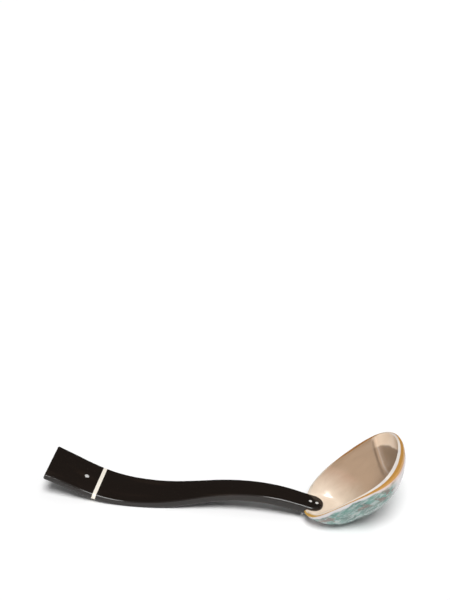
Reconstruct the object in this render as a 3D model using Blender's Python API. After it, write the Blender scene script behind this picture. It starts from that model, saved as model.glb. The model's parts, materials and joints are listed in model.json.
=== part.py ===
"""Serving spoon: a sea-shell bowl pinned to a black horn handle with a bone band near its butt.

Frame: +X runs from the butt to the bowl, +Z is up, and the origin is under the middle of the
whole spoon, on the surface that it rests on. Every length is in metres.
"""
import math

import bmesh
import bpy
from mathutils import Matrix, Vector

MM = 0.001

# Fits
GAP = 0.3 * MM                    # between pieces that touch
PIN_CLEARANCE = 0.3 * MM          # around a pin, on its radius

# Handle: its top face follows a course of (share of the length, heading in degrees)
HANDLE_LENGTH = 198.6 * MM
HANDLE_COURSE = ((0.0, -21.0), (0.13, -21.5), (0.33, 0.5), (0.55, 14.5),
                 (0.75, 1.5), (0.92, -13.5), (1.0, -8.0))
BUTT_WIDTH = 36.2 * MM
WAIST_WIDTH = 29.4 * MM
SHANK_WIDTH = 18.8 * MM
TONGUE_WIDTH = 15.0 * MM
WIDTH_SHARES = (0.0, 0.33, 0.66, 0.92)
BUTT_THICKNESS = 4.2 * MM
WAIST_THICKNESS = 4.6 * MM
SHANK_THICKNESS = 5.4 * MM
NECK_THICKNESS = 6.5 * MM
THICKNESS_SHARES = (0.0, 0.36, 0.64, 0.85)
EDGE_ROUND = 0.9 * MM             # on the handle's four long edges
TIP_ROUND = 7.6 * MM              # length of the rounded end in plan
REST_FLAT = 0.15 * MM             # dressed off the underside where it rests
COURSE_STEPS = 400
STATION_STEP = 4.0 * MM
TIP_STATIONS = (15, 30, 42, 53, 63, 72, 80)  # degrees round the tip's quarter circle
BAR_SECTIONS = 6                  # stretches of the tenon and of the shoulder cut

# Bone band, and the tenon that runs through it
BAND_FROM_BUTT = 36.0 * MM
BAND_WIDTH = 2.6 * MM
TENON_WIDTH = 14.0 * MM
TENON_THICKNESS = 1.5 * MM
TENON_REACH = 14.0 * MM           # into the butt cap
BUTT_PIN_DIAMETER = 3.3 * MM
BUTT_PIN_FROM_BAND = 8.6 * MM

# Bowl: the rim's long axis is U, its cross axis is V, and N stands out of the rim's plane
BOWL_LENGTH = 84.2 * MM
BOWL_WIDTH = 68.4 * MM            # at the middle of the long axis, before it narrows
BOWL_DEPTH = 28.0 * MM
BOWL_PITCH = math.radians(38.3)
BOWL_ROLL = math.radians(4.8)
BOWL_YAW = math.radians(4.8)
RIM_TAPER = 0.193                 # narrow at the handle, wide at the tip
RIM_SQUARENESS = 0.163
RIM_SAG = 1.5 * MM                # of the two ends, below the sides
BELLY_POWER = 1.72
BELLY_SHIFT_U = -0.33             # share of half the length
BELLY_SHIFT_V = -3.1 * MM
WALL = 2.4 * MM
LIP_SIDE = 1.3 * MM
LIP_HEEL = 2.9 * MM
LIP_TIP = 5.7 * MM
LIP_TIP_TURN = math.radians(-28)  # the lip is widest on this side of the tip
LIP_TIP_NARROWING = 3.5           # power that gathers the wide lip round that side
LIP_SLOPE = 0.2                   # rise of the lip's face towards the inside
LIP_SLOPE_END = 0.35              # share of the belly where that rise has gone
WALL_FULL = 0.5                   # share of the belly where the wall has its own thickness
RIM_STEPS = 72
BELLY_STEPS = 11
TURNS = [2 * math.pi * i / RIM_STEPS for i in range(RIM_STEPS)]
BELLIES = [i / BELLY_STEPS for i in range(1, BELLY_STEPS)]

# Joint of handle and bowl
TONGUE_THICKNESS = 1.9 * MM       # of the part that lies inside the bowl
RIM_FROM_TIP = 12.5 * MM          # from the handle's tip back to the bowl's heel
SHOULDER_PAST_RIM = 3.2 * MM      # the thick horn is scribed to the shell up to here
RIM_BELOW_TOP = 4.45 * MM         # heel of the rim, below the handle's top face
HEEL_SIDEWAYS = -2.0 * MM
SEAT_MARGIN = 0.8 * MM            # flat of the seat, past the tongue's edge
SEAT_FADE_SIDE = 6.0 * MM
SEAT_FADE_END = 15.0 * MM
SEAT_EDGE_DROP = 1.0 * MM         # outer rim below the seat
SEAT_FALL = 0.15                  # slope of the seat past the handle's tip
BOWL_PIN_DIAMETER = 2.3 * MM
BOWL_PIN_FROM_TIP = 4.5 * MM
BOWL_PIN_SPACING = 4.6 * MM
PIN_SEGMENTS = 24
CREASE_ANGLE = math.radians(35)   # sharper edges are shaded as edges


# ---------------------------------------------------------------- scene and helpers

def clear_scene():
    """Start from nothing."""
    for old in list(bpy.data.objects):
        bpy.data.objects.remove(old, do_unlink=True)


def principled(name, colour, roughness, metallic=0.0):
    """A plain Principled material in the part's own colour."""
    material = bpy.data.materials.new(name)
    material.use_nodes = True
    shader = material.node_tree.nodes["Principled BSDF"]
    shader.inputs["Base Color"].default_value = (*colour, 1.0)
    shader.inputs["Roughness"].default_value = roughness
    shader.inputs["Metallic"].default_value = metallic
    return material


def object_from_bmesh(name, bm, material=None):
    """Close off a bmesh as a named object with its faces pointing out."""
    bmesh.ops.recalc_face_normals(bm, faces=bm.faces[:])
    mesh = bpy.data.meshes.new(name)
    bm.to_mesh(mesh)
    bm.free()
    obj = bpy.data.objects.new(name, mesh)
    bpy.context.scene.collection.objects.link(obj)
    if material is not None:
        mesh.materials.append(material)
        mesh.shade_smooth()
        mesh.set_sharp_from_angle(angle=CREASE_ANGLE)
    return obj


def as_cutter(obj):
    """Mark an object as a tool, so that it isn't part of the spoon."""
    obj.hide_render = True
    obj.display_type = "WIRE"
    return obj


def combine(obj, tool, operation):
    """Add a Boolean modifier."""
    modifier = obj.modifiers.new(tool.name, "BOOLEAN")
    modifier.operation = operation
    modifier.solver = "EXACT"
    modifier.object = tool


def smooth_through(shares, values, at):
    """Value at one share, on a smooth cubic curve through the given values."""
    slopes = []
    last = len(shares) - 1
    for i in range(last + 1):
        before = max(i - 1, 0)
        after = min(i + 1, last)
        slopes.append((values[after] - values[before]) / (shares[after] - shares[before]))
    if at >= shares[last]:
        return values[last]
    k = max(i for i in range(last) if shares[i] <= at)
    span = shares[k + 1] - shares[k]
    t = (at - shares[k]) / span
    return (values[k] * (2 * t**3 - 3 * t**2 + 1) + slopes[k] * span * (t**3 - 2 * t**2 + t)
            + values[k + 1] * (3 * t**2 - 2 * t**3) + slopes[k + 1] * span * (t**3 - t**2))


def smoothstep(edge0, edge1, value):
    """0 before edge0, 1 after edge1, and smooth between them."""
    t = min(max((value - edge0) / (edge1 - edge0), 0.0), 1.0)
    return t * t * (3 - 2 * t)


def tube(rings):
    """Open-ended body from rings of equal length, and its rows of points."""
    bm = bmesh.new()
    rows = [[bm.verts.new(point) for point in ring] for ring in rings]
    count = len(rows[0])
    for row, following in zip(rows, rows[1:]):
        for i in range(count):
            j = (i + 1) % count
            bm.faces.new((row[i], row[j], following[j], following[i]))
    return bm, rows


def loft(rings):
    """Closed body with a flat face on the first ring and on the last."""
    bm, rows = tube(rings)
    bm.faces.new(rows[0][::-1])
    bm.faces.new(rows[-1])
    return bm


def skin(rings, first_pole, last_pole):
    """Closed body that comes to a point past the first ring and past the last."""
    bm, rows = tube(rings)
    for point, row in ((first_pole, rows[0]), (last_pole, rows[-1])):
        pole = bm.verts.new(point)
        for i, vert in enumerate(row):
            bm.faces.new((vert, row[(i + 1) % len(row)], pole))
    return bm


# ---------------------------------------------------------------- handle

class Course:
    """The line that the middle of the handle's top face follows, in the XZ plane."""

    def __init__(self):
        shares = [share for share, heading in HANDLE_COURSE]
        headings = [math.radians(heading) for share, heading in HANDLE_COURSE]
        self.pace = HANDLE_LENGTH / COURSE_STEPS
        self.headings = [smooth_through(shares, headings, i / COURSE_STEPS)
                         for i in range(COURSE_STEPS + 1)]
        self.points = [Vector((0.0, 0.0, 0.0))]
        for a, b in zip(self.headings, self.headings[1:]):
            middle = (a + b) / 2
            step = Vector((math.cos(middle), 0.0, math.sin(middle))) * self.pace
            self.points.append(self.points[-1] + step)

    def at(self, distance):
        """Point, direction along the handle, and direction out of its top face."""
        place = min(max(distance / self.pace, 0.0), COURSE_STEPS)
        i = min(int(place), COURSE_STEPS - 1)
        rest = place - i
        point = self.points[i].lerp(self.points[i + 1], rest)
        heading = self.headings[i] * (1 - rest) + self.headings[i + 1] * rest
        along = Vector((math.cos(heading), 0.0, math.sin(heading)))
        out = Vector((-math.sin(heading), 0.0, math.cos(heading)))
        return point, along, out

    def distance_at_x(self, x):
        """Distance along the course at which it passes x, within its own length."""
        after = next((i for i, point in enumerate(self.points) if point.x > x), None)
        if after is None:
            return HANDLE_LENGTH
        if after == 0:
            return 0.0
        span = self.points[after].x - self.points[after - 1].x
        return self.pace * (after - (self.points[after].x - x) / span)


def handle_width(distance):
    """Full width of the handle, with its end rounded in plan."""
    widths = (BUTT_WIDTH, WAIST_WIDTH, SHANK_WIDTH, TONGUE_WIDTH)
    width = smooth_through(WIDTH_SHARES, widths, distance / HANDLE_LENGTH)
    into_tip = max(distance - (HANDLE_LENGTH - TIP_ROUND), 0.0) / TIP_ROUND
    return width * math.sqrt(max(1.0 - into_tip**2, 0.0))


def handle_thickness(distance):
    """Thickness of the horn before the joint is cut."""
    values = (BUTT_THICKNESS, WAIST_THICKNESS, SHANK_THICKNESS, NECK_THICKNESS)
    return smooth_through(THICKNESS_SHARES, values, distance / HANDLE_LENGTH)


def handle_section(course, distance):
    """One cross-section: a rectangle with rounded corners, hanging from the top face."""
    point, _, out = course.at(distance)
    half = handle_width(distance) / 2
    depth = handle_thickness(distance)
    round_ = min(EDGE_ROUND, half / 2)
    corners = ((half, 0.0, 0), (half, -depth, -90), (-half, -depth, -180), (-half, 0.0, -270))
    ring = []
    for y, z, turn in corners:
        centre_y = y - math.copysign(round_, y)
        centre_z = z - round_ if z == 0.0 else z + round_
        for step in (90, 45, 0):
            angle = math.radians(turn + step)
            across = centre_y + round_ * math.cos(angle)
            up = centre_z + round_ * math.sin(angle)
            ring.append(point + out * up + Vector((0.0, across, 0.0)))
    return ring


def stations(start, end):
    """Distances of the sections, closer together round the tip."""
    straight_end = min(end, HANDLE_LENGTH - TIP_ROUND)
    count = max(round((straight_end - start) / STATION_STEP), 1)
    places = [start + (straight_end - start) * i / count for i in range(count + 1)]
    if end > straight_end:
        for degrees in TIP_STATIONS:
            places.append(straight_end + TIP_ROUND * math.sin(math.radians(degrees)))
    return places


def handle_piece(name, course, start, end, material):
    """A stretch of the handle as a solid."""
    rings = [handle_section(course, distance) for distance in stations(start, end)]
    return object_from_bmesh(name, loft(rings), material)


def dress_rest_flat(obj):
    """Flatten the underside where the handle meets the surface that it rests on."""
    lowest = min(vertex.co.z for vertex in obj.data.vertices)
    for vertex in obj.data.vertices:
        vertex.co.z = max(vertex.co.z, lowest + REST_FLAT)


def tenon_form(name, course, growth, start, end):
    """Flat bar along the course, in the middle of the horn's thickness."""
    rings = []
    for i in range(BAR_SECTIONS + 1):
        distance = start + (end - start) * i / BAR_SECTIONS
        point, _, out = course.at(distance)
        middle = point - out * handle_thickness(distance) / 2
        half_y = TENON_WIDTH / 2 + growth
        half_z = TENON_THICKNESS / 2 + growth
        corners = ((half_y, half_z), (half_y, -half_z), (-half_y, -half_z), (-half_y, half_z))
        rings.append([middle + out * z + Vector((0.0, y, 0.0)) for y, z in corners])
    return as_cutter(object_from_bmesh(name, loft(rings)))


def shoulder_form(course):
    """Block that leaves only the tongue's thickness beyond the shoulder."""
    start = HANDLE_LENGTH - RIM_FROM_TIP + SHOULDER_PAST_RIM
    rings = []
    for i in range(BAR_SECTIONS + 1):
        point, along, out = course.at(start + (HANDLE_LENGTH - start) * i / BAR_SECTIONS)
        if i == BAR_SECTIONS:
            point = point + along * TIP_ROUND
        top = point - out * TONGUE_THICKNESS
        deep = point - out * BOWL_DEPTH
        side = Vector((0.0, TONGUE_WIDTH, 0.0))
        rings.append([top + side, deep + side, deep - side, top - side])
    return as_cutter(object_from_bmesh("shoulder_form", loft(rings)))


def pin_form(name, course, distance, diameter, above, below, material=None):
    """Round bar square to the handle's top face."""
    point, _, out = course.at(distance)
    bm = bmesh.new()
    bmesh.ops.create_cone(bm, cap_ends=True, segments=PIN_SEGMENTS, radius1=diameter / 2,
                          radius2=diameter / 2, depth=above + below)
    turn = Vector((0.0, 0.0, 1.0)).rotation_difference(out).to_matrix().to_4x4()
    place = Matrix.Translation(point + out * (above - below) / 2) @ turn
    bmesh.ops.transform(bm, matrix=place, verts=bm.verts[:])
    return object_from_bmesh(name, bm, material)


# ---------------------------------------------------------------- bowl

class Bowl:
    """The shell's surfaces, placed by the heel of its rim under the handle's tongue."""

    def __init__(self, course):
        self.course = course
        cos_pitch = math.cos(BOWL_PITCH)
        self.u = Vector((cos_pitch * math.cos(BOWL_YAW), cos_pitch * math.sin(BOWL_YAW),
                         math.sin(BOWL_PITCH)))
        level = Vector((0.0, 0.0, 1.0)).cross(self.u).normalized()
        upright = self.u.cross(level)
        self.v = level * math.cos(BOWL_ROLL) + upright * math.sin(BOWL_ROLL)
        self.n = self.u.cross(self.v)
        point, _, out = course.at(HANDLE_LENGTH - RIM_FROM_TIP)
        heel = point - out * RIM_BELOW_TOP + Vector((0.0, HEEL_SIDEWAYS, 0.0))
        self.centre = heel + self.u * BOWL_LENGTH / 2 + self.n * RIM_SAG
        self.seat_end = course.at(HANDLE_LENGTH)[0].x + SEAT_MARGIN

    def outer(self, turn, belly):
        """Outer surface: turn goes round the rim, belly from the rim (0) to the bottom (1)."""
        ring = math.cos(belly * math.pi / 2) ** (2 / BELLY_POWER) if belly < 1 else 0.0
        sink = math.sin(belly * math.pi / 2) ** (2 / BELLY_POWER)
        half = BOWL_LENGTH / 2
        along = half * math.cos(turn)
        taper = 1 + RIM_TAPER * math.cos(turn) + RIM_SQUARENESS * math.cos(2 * turn)
        across = BOWL_WIDTH / 2 * math.sin(turn) * taper
        height = -RIM_SAG * math.cos(2 * turn)
        return (self.centre
                + self.u * (along * ring + BELLY_SHIFT_U * half * (1 - ring))
                + self.v * (across * ring + BELLY_SHIFT_V * (1 - ring))
                + self.n * (height * ring - BOWL_DEPTH * sink))

    def outward(self, turn, belly):
        """Direction out of the outer surface."""
        small = 1 / COURSE_STEPS
        near = min(max(belly, small), 1 - small)
        round_rim = self.outer(turn + small, near) - self.outer(turn - small, near)
        down = self.outer(turn, near + small) - self.outer(turn, near - small)
        return round_rim.cross(down).normalized() * -1.0

    def wall(self, turn, belly):
        """Thickness of the shell, wide at the heel and beside the tip."""
        heel = (LIP_HEEL - LIP_SIDE) * max(-math.cos(turn), 0.0) ** 2
        tip = (LIP_TIP - LIP_SIDE) * max(math.cos(turn - LIP_TIP_TURN), 0.0) ** LIP_TIP_NARROWING
        fade = smoothstep(0.0, WALL_FULL, belly)
        return (LIP_SIDE + heel + tip) * (1 - fade) + WALL * fade

    def seat(self, x):
        """Height of the seat under the handle's tongue."""
        distance = self.course.distance_at_x(x)
        point, _, out = self.course.at(distance)
        below = (TONGUE_THICKNESS + GAP) / out.z
        return point.z - below - max(x - point.x, 0.0) * SEAT_FALL

    def seat_share(self, x, y):
        """1 under the tongue and 0 well away from it."""
        side = TONGUE_WIDTH / 2 + SEAT_MARGIN
        across = 1 - smoothstep(side, side + SEAT_FADE_SIDE, abs(y))
        return across * (1 - smoothstep(self.seat_end, self.seat_end + SEAT_FADE_END, x))

    def inner(self, turn, belly):
        """Inner surface, drawn to the tongue's seat at the heel."""
        wall = self.wall(turn, belly)
        rise = LIP_SLOPE * wall * (1 - smoothstep(0.0, LIP_SLOPE_END, belly))
        point = self.outer(turn, belly) - self.outward(turn, belly) * wall + self.n * rise
        share = self.seat_share(point.x, point.y)
        point.z += (self.seat(point.x) - point.z) * share
        return point

    def rim(self, turn):
        """Outer edge of the lip, kept below the seat where the tongue crosses it."""
        point = self.outer(turn, 0.0)
        too_high = max(point.z - (self.seat(point.x) - SEAT_EDGE_DROP), 0.0)
        point.z -= too_high * self.seat_share(point.x, point.y)
        return point

    def below_rim(self):
        """Rings of the outer surface, from the bottom up to just below the rim."""
        return [[self.outer(turn, belly) for turn in TURNS] for belly in reversed(BELLIES)]

    def mesh(self):
        """The whole shell as one closed body."""
        rings = self.below_rim()
        rings.append([self.rim(turn) for turn in TURNS])
        rings.append([self.inner(turn, 0.0) for turn in TURNS])
        rings += [[self.inner(turn, belly) for turn in TURNS] for belly in BELLIES]
        return skin(rings, self.outer(0.0, 1.0), self.inner(0.0, 1.0))

    def outside_form(self):
        """Solid of the shell's outside, carried up past its rim, to trim the pins' ends."""
        rings = self.below_rim()
        rings.append([self.outer(turn, 0.0) for turn in TURNS])
        rings.append([point + self.n * BOWL_DEPTH for point in rings[-1]])
        above = self.centre + self.n * BOWL_DEPTH
        bm = skin(rings, self.outer(0.0, 1.0), above)
        return as_cutter(object_from_bmesh("shell_outside_form", bm))

    def fit_form(self):
        """The shell grown by the gap, which scribes the handle to it."""
        bm = self.mesh()
        bmesh.ops.recalc_face_normals(bm, faces=bm.faces[:])
        bm.normal_update()
        moves = [vert.normal * GAP * vert.calc_shell_factor() for vert in bm.verts]
        for vert, move in zip(bm.verts, moves):
            vert.co += move
        return as_cutter(object_from_bmesh("shell_fit_form", bm))


# ---------------------------------------------------------------- assembly

def make_handle(course, bowl, horn, bone):
    """Butt cap, bone band and blade, with the tenon and the notch for the shell."""
    band_start = BAND_FROM_BUTT
    band_end = band_start + BAND_WIDTH
    blade_start = band_end + GAP
    cap = handle_piece("butt_cap", course, 0.0, band_start - GAP, horn)
    band = handle_piece("bone_band", course, band_start, band_end, bone)
    blade = handle_piece("handle_blade", course, blade_start, HANDLE_LENGTH, horn)
    tenon_tip = band_start - TENON_REACH
    tenon = tenon_form("tenon_form", course, 0.0, tenon_tip, blade_start + TENON_REACH / 2)
    mortise = tenon_form("mortise_form", course, GAP, tenon_tip - GAP, band_end + 2 * GAP)
    combine(blade, tenon, "UNION")
    combine(band, mortise, "DIFFERENCE")
    combine(cap, mortise, "DIFFERENCE")
    combine(blade, shoulder_form(course), "DIFFERENCE")
    combine(blade, bowl.fit_form(), "DIFFERENCE")
    return cap, band, blade


def make_butt_pin(course, cap, blade, metal):
    """Pin that locks the tenon in the butt cap, flush on both faces."""
    place = BAND_FROM_BUTT - BUTT_PIN_FROM_BAND
    depth = handle_thickness(place)
    pin = pin_form("butt_pin", course, place, BUTT_PIN_DIAMETER, 0.0, depth, metal)
    bore = BUTT_PIN_DIAMETER + 2 * PIN_CLEARANCE
    hole = as_cutter(pin_form("butt_pin_hole", course, place, bore, depth, 2 * depth))
    combine(cap, hole, "DIFFERENCE")
    combine(blade, hole, "DIFFERENCE")
    return pin


def make_bowl_pins(course, bowl, blade, shell, metal):
    """Two pins through the tongue and the shell, filed flush outside."""
    outside = bowl.outside_form()
    bore = BOWL_PIN_DIAMETER + 2 * PIN_CLEARANCE
    places = (("bowl_pin_rear", BOWL_PIN_FROM_TIP + BOWL_PIN_SPACING),
              ("bowl_pin_front", BOWL_PIN_FROM_TIP))
    pins = []
    for name, from_tip in places:
        place = HANDLE_LENGTH - from_tip
        pin = pin_form(name, course, place, BOWL_PIN_DIAMETER, 0.0, BOWL_DEPTH, metal)
        combine(pin, outside, "INTERSECT")
        hole = as_cutter(pin_form(name + "_hole", course, place, bore,
                                  BOWL_DEPTH, 2 * BOWL_DEPTH))
        combine(blade, hole, "DIFFERENCE")
        combine(shell, hole, "DIFFERENCE")
        pins.append(pin)
    return pins


def stand_on_origin(pieces):
    """Parent every piece to an empty that puts the origin under the spoon's middle."""
    bpy.context.view_layer.update()
    depsgraph = bpy.context.evaluated_depsgraph_get()
    corners = []
    for piece in pieces:
        mesh = piece.evaluated_get(depsgraph).to_mesh()
        corners += [vertex.co.copy() for vertex in mesh.vertices]
    low = Vector([min(corner[axis] for corner in corners) for axis in range(3)])
    high = Vector([max(corner[axis] for corner in corners) for axis in range(3)])
    frame = bpy.data.objects.new("spoon_frame", None)
    bpy.context.scene.collection.objects.link(frame)
    for obj in list(bpy.context.scene.objects):
        if obj is not frame:
            obj.parent = frame
    frame.location = (-(low.x + high.x) / 2, -(low.y + high.y) / 2, -low.z)


def main():
    """Build the spoon."""
    clear_scene()
    horn = principled("black_horn", (0.016, 0.012, 0.010), 0.18)
    bone = principled("bone", (0.86, 0.79, 0.66), 0.35)
    pearl = principled("sea_shell", (0.72, 0.60, 0.48), 0.16)
    metal = principled("white_metal", (0.75, 0.75, 0.73), 0.28, 1.0)
    course = Course()
    bowl = Bowl(course)
    shell = object_from_bmesh("shell_bowl", bowl.mesh(), pearl)
    cap, band, blade = make_handle(course, bowl, horn, bone)
    dress_rest_flat(blade)
    butt_pin = make_butt_pin(course, cap, blade, metal)
    bowl_pins = make_bowl_pins(course, bowl, blade, shell, metal)
    stand_on_origin([shell, cap, band, blade, butt_pin, *bowl_pins])


main()
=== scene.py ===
"""Serving spoon: a sea-shell bowl pinned to a black horn handle with a bone band.

Laid out as an add-on. Each operator makes one piece, or a few like pieces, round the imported
frame, and the last one sets the stage. +X runs from the butt to the bowl and +Z is up.
"""
import json
import math
from functools import partialmethod

import bmesh
import bpy
from bpy.props import FloatProperty, FloatVectorProperty, IntProperty, PointerProperty
from mathutils import Matrix, Vector
from mathutils.bvhtree import BVHTree

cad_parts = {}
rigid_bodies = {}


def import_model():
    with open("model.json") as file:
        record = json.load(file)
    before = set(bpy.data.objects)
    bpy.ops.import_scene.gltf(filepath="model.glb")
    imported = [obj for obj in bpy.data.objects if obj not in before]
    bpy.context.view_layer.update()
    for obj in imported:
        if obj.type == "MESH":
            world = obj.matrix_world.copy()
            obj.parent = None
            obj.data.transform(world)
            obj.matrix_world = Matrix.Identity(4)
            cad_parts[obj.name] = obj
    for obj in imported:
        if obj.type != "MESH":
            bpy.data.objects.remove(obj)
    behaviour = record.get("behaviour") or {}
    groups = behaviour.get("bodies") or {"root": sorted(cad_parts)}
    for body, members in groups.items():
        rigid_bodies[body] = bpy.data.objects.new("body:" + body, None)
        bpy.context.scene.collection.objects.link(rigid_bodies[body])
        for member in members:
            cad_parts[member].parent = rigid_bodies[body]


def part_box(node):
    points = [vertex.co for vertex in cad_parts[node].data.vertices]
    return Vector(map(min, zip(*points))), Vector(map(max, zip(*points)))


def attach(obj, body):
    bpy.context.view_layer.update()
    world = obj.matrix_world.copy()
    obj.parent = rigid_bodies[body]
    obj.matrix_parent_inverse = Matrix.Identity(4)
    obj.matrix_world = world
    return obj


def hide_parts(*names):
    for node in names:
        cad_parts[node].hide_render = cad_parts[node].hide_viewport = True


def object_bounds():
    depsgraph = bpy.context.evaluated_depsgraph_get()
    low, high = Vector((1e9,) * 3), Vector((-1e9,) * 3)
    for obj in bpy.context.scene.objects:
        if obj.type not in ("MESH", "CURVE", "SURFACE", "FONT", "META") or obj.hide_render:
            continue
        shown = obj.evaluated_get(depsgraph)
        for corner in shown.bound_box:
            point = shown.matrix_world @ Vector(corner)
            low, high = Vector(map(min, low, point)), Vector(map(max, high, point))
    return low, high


bl_info = {
    "name": "Shell and Horn Serving Spoon",
    "version": (1, 0, 0),
    "blender": (4, 5, 0),
    "location": "3D View > Sidebar > Spoon",
    "description": "Makes the finished pieces of a serving spoon round its packed frame",
    "category": "Object",
}

MM = 0.001
FILING_REACH = 20                 # mm below a pin's end, where the search for the shell starts
MERGE = 1e-7                      # points nearer than this become one point
SHARP_ANGLE = math.radians(32)
SOFTEN_ANGLE = math.radians(38)
UP = Vector((0.0, 0.0, 1.0))

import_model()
CAD_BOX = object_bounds()


# ---------------- sizes and colours

def length(millimetres, description):
    """A length property, stored in metres."""
    return FloatProperty(description=description, default=millimetres * MM, precision=5,
                         unit="LENGTH")


def share(default, description):
    """A plain number property."""
    return FloatProperty(description=description, default=default)


def turn(degrees, description):
    """An angle property, stored in radians."""
    return FloatProperty(description=description, default=math.radians(degrees),
                         subtype="ANGLE")


def colour(rgb, description):
    """A colour property."""
    return FloatVectorProperty(description=description, default=rgb, size=3, min=0.0, max=1.0,
                               subtype="COLOR")


def triple(numbers, description, unit="NONE"):
    """A place or a direction."""
    return FloatVectorProperty(description=description, default=numbers, size=3, unit=unit)


class HandleSizes(bpy.types.PropertyGroup):
    """Sizes of the horn handle, its band and its pins."""

    handle_length: length(198.6, "Along the top face, from butt to tip")
    butt_width: length(36.2, "Width at the butt end")
    waist_width: length(29.4, "Width a third of the way along")
    shank_width: length(18.8, "Width two thirds of the way along")
    tongue_width: length(15.0, "Width where the horn lies in the bowl")
    butt_thickness: length(4.2, "Thickness of the horn at the butt")
    waist_thickness: length(4.6, "Thickness a third of the way along")
    shank_thickness: length(5.4, "Thickness two thirds of the way along")
    neck_thickness: length(6.5, "Thickness behind the bowl")
    edge_round: length(0.9, "Radius of the long edges")
    butt_corner: length(1.2, "Radius of the butt's corners in plan")
    tip_round: length(7.6, "Length of the rounded tip in plan")
    band_from_butt: length(36.0, "From the butt to the bone band")
    band_width: length(2.6, "Width of the bone band")
    joint_gap: length(0.3, "Room that the frame leaves between two pieces")
    close_fit: length(0.04, "Room that a finished joint shows")
    tenon_width: length(14.0, "Across the handle")
    tenon_thickness: length(1.5, "Through the horn")
    tenon_reach: length(14.0, "Past the band, into the butt cap")
    butt_pin_diameter: length(3.3, "Diameter of the pin in the butt cap")
    butt_pin_from_band: length(8.6, "From the band to the pin")
    bowl_pin_diameter: length(2.3, "Diameter of the two pins in the bowl")
    bowl_pin_from_tip: length(4.5, "From the tip to the first pin")
    bowl_pin_spacing: length(4.6, "Between the two pins")
    tongue_thickness: length(1.9, "Of the part that lies in the bowl")
    rim_from_tip: length(12.5, "From the tip back to the bowl's heel")
    shoulder_past_rim: length(3.2, "From the rim to the end of the thick horn")


class BowlSizes(bpy.types.PropertyGroup):
    """Sizes of the shell bowl."""

    rim_length: length(84.2, "Along the rim's long axis")
    rim_width: length(68.4, "Across the rim, before it narrows")
    depth: length(28.0, "From the rim's plane to the bottom")
    pitch: turn(38.3, "Slope of the long axis")
    roll: turn(4.8, "Tilt to the near side")
    yaw: turn(4.8, "Turn from the handle's line")
    taper: share(0.193, "How much wider the rim is at its tip")
    squareness: share(0.163, "How square the rim's ends are")
    sag: length(1.5, "Drop of the rim's two ends")
    belly_power: share(1.72, "2 is a round belly, less is more pointed")
    shift_along: share(-0.33, "Of the bottom towards the handle")
    shift_across: length(-3.1, "Of the bottom to the near side")
    wall: length(2.4, "Thickness of the belly")
    lip_side: length(1.3, "Width of the lip at the sides")
    lip_heel: length(2.9, "Width of the lip under the handle")
    lip_tip: length(5.7, "Width of the lip where it is widest")
    lip_turn: turn(-28.0, "Where the lip is widest, from the tip")
    lip_slope: share(0.2, "Rise of the lip towards the inside")
    rim_below_top: length(4.45, "From the handle's top face to the heel")
    heel_sideways: length(-2.0, "Of the heel to the near side")
    seat_margin: length(0.8, "Flat of the seat round the tongue")
    seat_fade_side: length(6.0, "Beside the tongue")
    seat_fade_end: length(15.0, "Past the tongue's tip")
    seat_edge_drop: length(1.0, "Outer rim below the seat")
    crest: length(3.2, "Height of the crest inside the far tip")
    crest_turn: turn(36.0, "Middle of the crest, from the tip")
    fold: length(1.1, "Height of the fold inside the bowl")
    fold_place: length(25.2, "From the rim's middle to the fold")
    ripple: length(0.12, "Height of the growth ripples")
    edge_soften: length(0.3, "Width of the lip's softened edges")
    around: IntProperty(description="Faces round the rim", default=360)


class SpoonColours(bpy.types.PropertyGroup):
    """Colours of the finishes."""

    horn: colour((0.0115, 0.0080, 0.0062), "Polished black horn")
    horn_streak: colour((0.030, 0.019, 0.013), "Brown streaks in the horn")
    bone: colour((0.86, 0.80, 0.70), "Polished bone")
    bone_pore: colour((0.55, 0.44, 0.31), "Fine pores along the bone")
    pin: colour((0.80, 0.80, 0.78), "White metal of the pins")
    nacre: colour((0.41, 0.285, 0.190), "Inside of the shell")
    # Pale nacre of the lip, and also the painted light on the lower inside near the handle.
    nacre_light: colour((0.80, 0.69, 0.56), "Inside near the handle")
    # Darker growth layers inside, and also the painted shade past the fold and on the fold's near
    # flank.
    nacre_deep: colour((0.32, 0.225, 0.150), "Darker layers inside the shell")
    # Painted light: the inner wall of the tip, above the crest, is made pale where it faces the
    # light.
    tip_pale: colour((0.88, 0.68, 0.50), "Inside of the tip, above the crest")
    lip: colour((0.85, 0.79, 0.71), "Ground edge of the shell")
    ochre: colour((0.50, 0.255, 0.062), "Outer layer where the edge cuts it")
    rust: colour((0.36, 0.17, 0.055), "Outer layer on the far rim")
    amber: colour((0.68, 0.40, 0.095), "Outer layer at the heel")
    blush: colour((0.58, 0.34, 0.24), "Under the ochre layer")
    pearl: colour((0.66, 0.62, 0.62), "Outside of the shell near its rim")
    teal: colour((0.12, 0.275, 0.235), "Green mottles of the outside")
    deep_green: colour((0.05, 0.125, 0.105), "Darkest of the mottles")
    mauve: colour((0.185, 0.13, 0.105), "Brown patches in the mottles")


HANDLE_COURSE = ((0.0, -21.0), (0.13, -21.5), (0.33, 0.5), (0.55, 14.5),
                 (0.75, 1.5), (0.92, -13.5), (1.0, -8.0))     # share of length, heading
WIDTH_SHARES = (0.0, 0.33, 0.66, 0.92)
THICKNESS_SHARES = (0.0, 0.36, 0.64, 0.85)


# ---------------- node writing

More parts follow.
